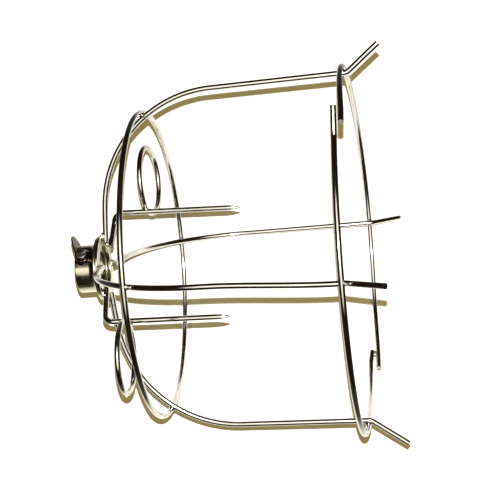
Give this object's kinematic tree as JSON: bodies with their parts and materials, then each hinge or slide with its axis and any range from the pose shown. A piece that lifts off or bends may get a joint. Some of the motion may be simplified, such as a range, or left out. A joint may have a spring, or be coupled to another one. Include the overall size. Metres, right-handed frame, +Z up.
{
  "type": "heat lamp bulb guard",
  "caption": "Bell-shaped wire guard for a poultry heat lamp: welded ribs and hoops on a short clamping neck collar, with two inner spring arms that carry pull loops.",
  "frame": {"origin": "centre of the bounding box's footprint, on the surface the guard lies on", "axes": "+X from the neck collar to the mouth, level; +Z up; +Y completes a right-handed frame and points away from a viewer who has the collar on the left"},
  "size_m": [0.1952, 0.211, 0.2091],
  "materials": {
    "wire": "bright plated",
    "sheet": "bright plated, slightly warm",
    "screw": "dull plated steel"
  },
  "bodies": {
    "cage": {"neck_collar": "sheet", "hub_washer": "sheet", "screw_boss": "sheet", "rib_upper": "wire", "rib_front": "wire", "rib_lower": "wire", "rib_rear": "wire", "shoulder_ring": "wire", "mouth_ring_upper": "wire", "mouth_ring_lower": "wire"},
    "clamp_screw": {"set_screw": "screw"},
    "upper_arm": {"arm_upper": "wire", "loop_upper": "wire"},
    "lower_arm": {"arm_lower": "wire", "loop_lower": "wire"}
  },
  "joints": [
    {"name": "set_screw_turn", "type": "hinge", "parent": "cage", "child": "clamp_screw", "pos_m": [-0.09105, 0.00404, 0.09431], "axis": [-0.1307, 0.2868, 0.949], "range_deg": [0, 810]},
    {"name": "upper_arm_flex", "type": "hinge", "parent": "cage", "child": "upper_arm", "pos_m": [-0.07679, 0.01663, 0.07574], "axis": [-0.1259, 0.3854, 0.9141], "range_deg": [0, 5], "stiffness_Nm_per_rad": 8},
    {"name": "lower_arm_flex", "type": "hinge", "parent": "cage", "child": "lower_arm", "pos_m": [-0.07868, -0.01658, 0.08948], "axis": [0.1259, -0.3854, -0.9141], "range_deg": [0, 5], "stiffness_Nm_per_rad": 8}
  ]
}
